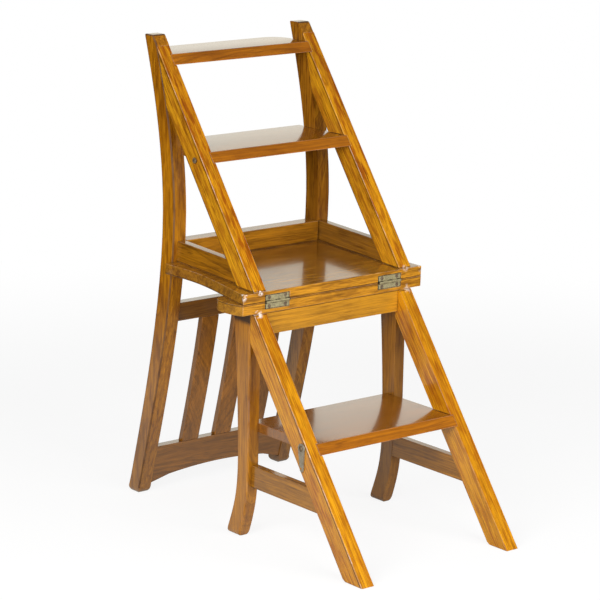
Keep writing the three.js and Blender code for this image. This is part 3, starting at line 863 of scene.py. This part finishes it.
def slotted_heads():
    """A domed, slotted head with its shank on each point, turned to the point's facing."""
    net = Pattern(
        "slotted_heads",
        Head_Radius=0.0036,
        Head_Height=0.0003,
        Root_Radius=0.0017,
        Rim_Depth=0.0026,
        Shank_Radius=0.0017,
        Shank_Length=0.012,
        Slot_Width=0.001,
        Slot_Depth=0.0008,
        Seed=1,
        Finish="material",
    )
    head, rise, rim = net.given("Head Radius"), net.given("Head Height"), net.given("Rim Depth")
    wide = head * 3
    ball = net.node("GeometryNodeMeshUVSphere", None, {"Segments": 28, "Rings": 12, "Radius": 1.0})
    squash = net.vector(head, head, rise)
    flat_ball = net.node("GeometryNodeTransform", None, {"Geometry": ball, "Scale": squash})
    under = net.node("GeometryNodeMeshCube", None, {"Size": net.vector(wide, wide, rise * 2)})
    dome = net.carved("DIFFERENCE", flat_ball, net.moved(under, net.vector(0.0, 0.0, rise * -1)))
    cone = net.node("GeometryNodeMeshCone", None, {
        "Vertices": 28, "Radius Top": head, "Radius Bottom": net.given("Root Radius"), "Depth": rim,
    })
    shank = net.node("GeometryNodeMeshCylinder", None, {
        "Vertices": 28, "Radius": net.given("Shank Radius"), "Depth": net.given("Shank Length"),
    })
    sunk = net.moved(shank, net.vector(0.0, 0.0, net.given("Shank Length") * -0.5 - rim * 0.9))
    whole = net.carved("UNION", dome, net.moved(cone, net.vector(0.0, 0.0, rim * -1)), sunk)
    slot_size = net.vector(wide, net.given("Slot Width"), net.given("Slot Depth") * 2)
    cutter = net.node("GeometryNodeMeshCube", None, {"Size": slot_size})
    fastener = net.carved("DIFFERENCE", whole, net.moved(cutter, net.vector(0.0, 0.0, rise)))
    ahead = {"Vector": net.named("facing")}
    facing = net.node("FunctionNodeAlignRotationToVector", {"axis": "Z"}, ahead)
    limits = {2: -SLOT_TURN, 3: SLOT_TURN, "Seed": net.given("Seed")}
    angle = net.node("FunctionNodeRandomValue", {"data_type": "FLOAT"}, limits, 1)
    axis = (0.0, 0.0, 1.0)
    spin = net.node("FunctionNodeAxisAngleToRotation", None, {"Axis": axis, "Angle": angle})
    settings = {"rotation_space": "LOCAL"}
    turned = net.node("FunctionNodeRotateRotation", settings, {0: facing, 1: spin})
    places = {"Points": net.given("Geometry"), "Instance": fastener, "Rotation": turned}
    return net.end(net.node("GeometryNodeInstanceOnPoints", None, places))


def slat_row():
    """Copies of one slat in a row, each as if cut from another part of the log."""
    net = Pattern("slat_row", Count=3, Spacing=0.08, Seed=1, Finish="material")
    count, spacing = net.given("Count"), net.given("Spacing")
    line = net.node("GeometryNodeMeshLine", None, {
        "Count": count,
        "Start Location": net.vector((count - 1) * spacing * -0.5, 0.0, 0.0),
        "Offset": net.vector(spacing, 0.0, 0.0),
    })
    slat = net.given("Geometry")
    row = net.node("GeometryNodeInstanceOnPoints", None, {"Points": line, "Instance": slat})
    limits = {0: SLAT_SHIFTS[0], 1: SLAT_SHIFTS[1], "Seed": net.given("Seed")}
    shift = net.node("FunctionNodeRandomValue", {"data_type": "FLOAT_VECTOR"}, limits)
    marked = net.stored(row, "INSTANCE", "shift", shift)
    spread = net.node("GeometryNodeRealizeInstances", None, {"Geometry": marked})
    terms = {0: net.named("grain"), 1: net.named("shift")}
    place = net.node("ShaderNodeVectorMath", {"operation": "ADD"}, terms)
    return net.end(net.stored(spread, "POINT", "grain", place))


def middle_of(node):
    """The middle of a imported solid, and half its size."""
    points = [vertex.co for vertex in frame["nodes"][node].data.vertices]
    low = Vector([min(point[axis] for point in points) for axis in range(3)])
    high = Vector([max(point[axis] for point in points) for axis in range(3)])
    return (low + high) / 2, (high - low) / 2


def forwards(middle):
    return Vector((0, -1, 0))


def outwards(middle):
    return Vector((math.copysign(1, middle.x), 0, 0))


def fasteners(name, tree, nodes, facing, seat, **sizes):
    """One object with a slotted head for each of some packed pins or screws."""
    form = bmesh.new()
    turns = []
    for node in nodes:
        middle, half = middle_of(node)
        ahead = facing(middle)
        outer = middle + ahead * abs(half.dot(ahead))
        form.verts.new(outer - ahead * seat)
        turns.extend(ahead)
    piece = to_object(form, name)
    piece.data.attributes.new("facing", "FLOAT_VECTOR", "POINT").data.foreach_set("vector", turns)
    grown(piece, tree, Finish=FINISHES[SLOT_OF[nodes[0]]], **sizes)
    form = bmesh.new()
    form.from_mesh(piece.data)
    shade(form)
    form.to_mesh(piece.data)
    form.free()
    return settle(piece, *nodes)


def outline_of(node):
    """Traits that run from -1 to 1 over a piece's length along X and over its height."""
    middle, half = middle_of(node)
    return {
        "run": lambda point: (point.x - middle.x) / half.x,
        "climb": lambda point: (point.z - middle.z) / half.z,
    }


# Operators


class STEPCHAIR_OT_base(bpy.types.Operator):
    """Stiles, curved legs, apron and low rails of the standing half"""

    bl_idname = "step_chair.base"
    bl_label = "Base Frame"

    def execute(self, context):
        settings = context.scene.step_chair_look
        under = seam_at(-BOARD_LEVEL)
        # Painted shade on the legs, most on the right one, which lies in shade
        for side, stain in LEG_SHADE.items():
            stile(f"base_stile_{side}", -1, BASE_STILE_LINES[side], 0.35, 0.0)
            board(
                f"front_leg_{side}",
                ALONG_Z,
                settings.curved_arris_radius,
                foot=settings.foot_height,
                seam=under,
                # Painted shadow of the seat board on the leg's top
                shelter=under,
                stain=stain,
            )
            board(f"base_side_rail_{side}", ALONG_Y)
        # Painted light lightens the apron
        board("front_apron", ALONG_X, seam=under, fade=0.22)
        return {"FINISHED"}


class STEPCHAIR_OT_treads(bpy.types.Operator):
    """The three treads"""

    bl_idname = "step_chair.treads"
    bl_label = "Treads"

    def execute(self, context):
        radius = context.scene.step_chair_look.board_arris_radius
        for name in ("base_step", "middle_step", "top_step"):
            # Painted shade on the treads' faces that look up
            board(name, ALONG_X, radius, 0.05, top_stain=TOP_SHADE)
        return {"FINISHED"}


class STEPCHAIR_OT_seat(bpy.types.Operator):
    """Seat board, front strip and the rails round the seat"""

    bl_idname = "step_chair.seat"
    bl_label = "Seat"

    def execute(self, context):
        radius = context.scene.step_chair_look.board_arris_radius
        for name in ("seat_board", "seat_front_strip"):
            board(
                name,
                ALONG_X,
                radius,
                0.06,
                # Painted shade on the faces that look up
                top_stain=TOP_SHADE,
                seam=seam_at(0),
                rub=0.08,
                mottle=0.55,
                # Painted light at the boards' front edge
                fade=lit_front,
            )
        foot = seam_at(BOARD_LEVEL)
        board("seat_back_rail", ALONG_X, seam=foot)
        # Painted shade on the right seat rail, which lies in shade
        for side, stain in SEAT_RAIL_SHADE.items():
            board(f"seat_side_rail_{side}", ALONG_SEAT, seam=foot, stain=stain)
        return {"FINISHED"}


class STEPCHAIR_OT_back(bpy.types.Operator):
    """Posts, stiles, rails and slats of the turning half"""

    bl_idname = "step_chair.back"
    bl_label = "Turning Back"

    def execute(self, context):
        settings = context.scene.step_chair_look
        for side, stain in POST_SHADE.items():
            stile(f"back_stile_{side}", 1, BACK_STILE_LINE, 0.6, 0.8)
            board(
                f"back_post_{side}",
                ALONG_Z,
                settings.curved_arris_radius,
                foot=settings.foot_height,
                mottle=0.4,
                # Painted shade on the rounded arrises
                crease=0.6,
                # Painted shade on the right post, and a foot darker towards the floor
                stain=darkened_foot(stain),
            )
        # Painted shade on the cross rail, which lies under the seat
        board("back_cross_rail", ALONG_X, stain=0.35)
        board("crest_rail", ALONG_X)
        slats = sorted(node for node in SLOT_OF if node.startswith("back_slat_"))
        centres = [middle_of(node)[0].x for node in slats]
        piece = to_object(softened(slats[1], settings.arris_radius), "back_slats_wood")
        write_grain(piece.data, ALONG_Z, "slats", 0.05)
        write_traits(piece.data, {"rub": 0.0, "mottle": 0.25})
        grown(
            piece,
            slat_row(),
            Count=len(slats),
            Spacing=centres[1] - centres[0],
            Seed=4,
            Finish=FINISHES[SLOT_OF[slats[0]]],
        )
        settle(piece, *slats)
        return {"FINISHED"}


class STEPCHAIR_OT_metalwork(bpy.types.Operator):
    """Hinges, hooks, pins and screws"""

    bl_idname = "step_chair.metalwork"
    bl_label = "Metalwork"

    def execute(self, context):
        radius = context.scene.step_chair_look.metal_arris_radius
        for node, slot in SLOT_OF.items():
            if slot in ("hinge_brass", "hook_steel"):
                piece = to_object(softened(node, radius, clamp=True), f"{node}_metal")
                if slot == "hinge_brass":
                    write_traits(piece.data, outline_of(node))
                settle(piece, node)
        tree = slotted_heads()
        heads = [node for node, slot in SLOT_OF.items() if slot == "screw_brass"]
        for level in ("upper", "lower"):
            screws = [node for node in heads if node.startswith(f"{level}_screw_")]
            fasteners(f"{level}_hinge_screws_metal", tree, screws, forwards, 0.0)
        for kind, (radius, seed) in PINS.items():
            fasteners(
                f"{kind}s_metal",
                tree,
                [node for node in heads if node.startswith(kind)],
                outwards,
                PIN_SEAT,
                Head_Radius=radius,
                Head_Height=PIN_SEAT,
                Root_Radius=radius * PIN_ROOT_SHARE,
                Rim_Depth=0.0006,
                Shank_Radius=0.0021,
                Shank_Length=0.017,
                Slot_Width=0.0012,
                Slot_Depth=0.0011,
                Seed=seed,
            )
        return {"FINISHED"}


class STEPCHAIR_OT_stage(bpy.types.Operator):
    """Pale floor, soft lamps and the camera"""

    bl_idname = "step_chair.stage"
    bl_label = "Stage"

    def execute(self, context):
        make_floor()
        make_world(context.scene)
        make_lamps()
        make_camera(context.scene)
        context.scene.view_settings.view_transform = "Standard"
        return {"FINISHED"}


# Stage

FLOOR_RADIUS = 30.0

# Parts of the floor: middle, and the distances from it over which they fade out
WHITE_FLOOR = ((0.0, 0.0, 0.0), 1.0, 2.3)
LIT_FLOOR = ((-0.6, 0.5, 0.0), 0.5, 1.35)
FLOOR_GLOW = 0.86
SHADOW_SHARE = 0.16
BOUNCE_SHARE = 0.42
MIRROR_SHARE = 0.22
FLOOR_REFLECTION = 0.38
BACKDROP_DIRECTION = (0.607, 0.759, 0.0)
BACKDROP_SIDES = (0.45, 0.85)
BACKDROP_TOP = (0.4, 0.75)
BACKDROP_TONE = (1.0, 0.955, 0.83, 1.0)
WORLD_LIGHT = 0.19
BACKDROP_LIGHT = 0.5
DIM_STUDIO = 0.05
KEY_PLACE = (0.3, -2.9, 1.1)
FILL_PLACE = (-2.7, -1.2, 1.4)
FILL_SHARE = 1.2
LAMP_TARGET = (0.0, 0.0, 0.4)
LAMP_SIZE = 2.2
CAMERA_PLACE = (-2.98481, -3.66806, 1.55336)
CAMERA_AZIMUTH = math.radians(-38.669)
CAMERA_ELEVATION = math.radians(13.431)
CAMERA_ROLL = math.radians(0.802)
CAMERA_LENS = 157.314
SENSOR_WIDTH = 36.0


def make_floor():
    """A round floor that takes a faint shadow near the chair and runs out into white."""
    form = bmesh.new()
    bmesh.ops.create_circle(form, cap_ends=True, radius=FLOOR_RADIUS, segments=96)
    floor = to_object(form, "floor")
    finish = Finish("pale_floor")
    camera, glossy = finish.ray_kinds()
    place = finish.object_place()
    settings = {"operation": "DISTANCE"}
    far, unlit = [
        finish.node("ShaderNodeVectorMath", settings, {0: place, 1: middle}, "Value").above(near, beyond)
        for middle, near, beyond in (WHITE_FLOOR, LIT_FLOOR)
    ]
    glow = camera * (far * (1 - FLOOR_GLOW) + FLOOR_GLOW) + glossy * (1 - unlit) * FLOOR_REFLECTION
    bounce = (1 - camera - glossy) * BOUNCE_SHARE
    share = (1 - far) * (camera * SHADOW_SHARE + glossy * MIRROR_SHARE + bounce)
    colour = finish.mix(1.0, finish.grey(share), look().floor_tone, "MULTIPLY")
    matt = finish.node("ShaderNodeBsdfDiffuse", None, {"Color": colour})
    glow_tone = finish.mix(glossy, look().floor_tone, BACKDROP_TONE)
    light = finish.node("ShaderNodeEmission", None, {"Color": glow_tone, "Strength": glow})
    both = finish.node("ShaderNodeAddShader", None, {0: matt, 1: light})
    finish.node("ShaderNodeOutputMaterial", None, {"Surface": both}, None)
    floor.data.materials.append(finish.material)


def make_world(scene):
    """White for the camera. Reflections see a white backdrop behind the chair in a dim studio."""
    scene.world = bpy.data.worlds.new("studio")
    scene.world.use_nodes = True
    net = Network(scene.world.node_tree)
    camera, glossy = net.ray_kinds()
    towards = net.node("ShaderNodeTexCoord", output="Generated")
    ahead = net.node(
        "ShaderNodeVectorMath",
        {"operation": "DOT_PRODUCT"},
        {0: towards, 1: BACKDROP_DIRECTION},
        "Value",
    )
    low = 1 - net.parts(towards)[2].above(*BACKDROP_TOP)
    backdrop = ahead.above(*BACKDROP_SIDES) * low
    seen = backdrop * (1 - DIM_STUDIO) + DIM_STUDIO
    spread = backdrop * BACKDROP_LIGHT + WORLD_LIGHT
    strength = camera + (1 - camera) * (glossy * seen + (1 - glossy) * spread)
    colour = net.mix(glossy, (1.0, 1.0, 1.0, 1.0), BACKDROP_TONE)
    background = net.node("ShaderNodeBackground", None, {"Color": colour, "Strength": strength})
    net.node("ShaderNodeOutputWorld", None, {"Surface": background}, None)


def lamp(name, place, power):
    data = bpy.data.lights.new(name, "AREA")
    data.shape = "SQUARE"
    data.size = LAMP_SIZE
    data.energy = power
    obj = bpy.data.objects.new(name, data)
    bpy.context.scene.collection.objects.link(obj)
    obj.location = place
    aim = Vector(LAMP_TARGET) - Vector(place)
    obj.rotation_euler = aim.to_track_quat("-Z", "Y").to_euler()


def make_lamps():
    lamp("key", KEY_PLACE, look().key_power)
    lamp("fill", FILL_PLACE, look().key_power * FILL_SHARE)


def make_camera(scene):
    azimuth, elevation, roll = CAMERA_AZIMUTH, CAMERA_ELEVATION, CAMERA_ROLL
    ahead = Vector((
        -math.sin(azimuth) * math.cos(elevation),
        math.cos(azimuth) * math.cos(elevation),
        -math.sin(elevation),
    ))
    level = ahead.cross(Vector((0, 0, 1))).normalized()
    upright = level.cross(ahead)
    right = math.cos(roll) * level + math.sin(roll) * upright
    up = math.cos(roll) * upright - math.sin(roll) * level
    turn = Matrix((right, up, -ahead)).transposed()
    data = bpy.data.cameras.new("camera")
    data.lens = CAMERA_LENS
    data.sensor_width = SENSOR_WIDTH
    data.clip_start = 0.1
    data.clip_end = 200.0
    camera = bpy.data.objects.new("camera", data)
    scene.collection.objects.link(camera)
    camera.matrix_world = Matrix.Translation(CAMERA_PLACE) @ turn.to_4x4()
    scene.camera = camera


# Panel and registration


class STEPCHAIR_PT_panel(bpy.types.Panel):
    """The steps that dress the chair, in order"""

    bl_label = "Folding Step Chair"
    bl_space_type = "VIEW_3D"
    bl_region_type = "UI"
    bl_category = "Step Chair"

    def draw(self, context):
        for operator in OPERATORS:
            self.layout.operator(operator.bl_idname)
        for name in StepChairLook.__annotations__:
            self.layout.prop(context.scene.step_chair_look, name)


OPERATORS = (
    STEPCHAIR_OT_base,
    STEPCHAIR_OT_treads,
    STEPCHAIR_OT_seat,
    STEPCHAIR_OT_back,
    STEPCHAIR_OT_metalwork,
    STEPCHAIR_OT_stage,
)
CLASSES = (StepChairLook, *OPERATORS, STEPCHAIR_PT_panel)


def register():
    for item in CLASSES:
        bpy.utils.register_class(item)
    bpy.types.Scene.step_chair_look = bpy.props.PointerProperty(type=StepChairLook)


def unregister():
    del bpy.types.Scene.step_chair_look
    for item in reversed(CLASSES):
        bpy.utils.unregister_class(item)


def main():
    register()
    make_finishes()
    bpy.ops.step_chair.base()
    bpy.ops.step_chair.treads()
    bpy.ops.step_chair.seat()
    bpy.ops.step_chair.back()
    bpy.ops.step_chair.metalwork()
    bpy.ops.step_chair.stage()


if __name__ == "__main__":
    main()
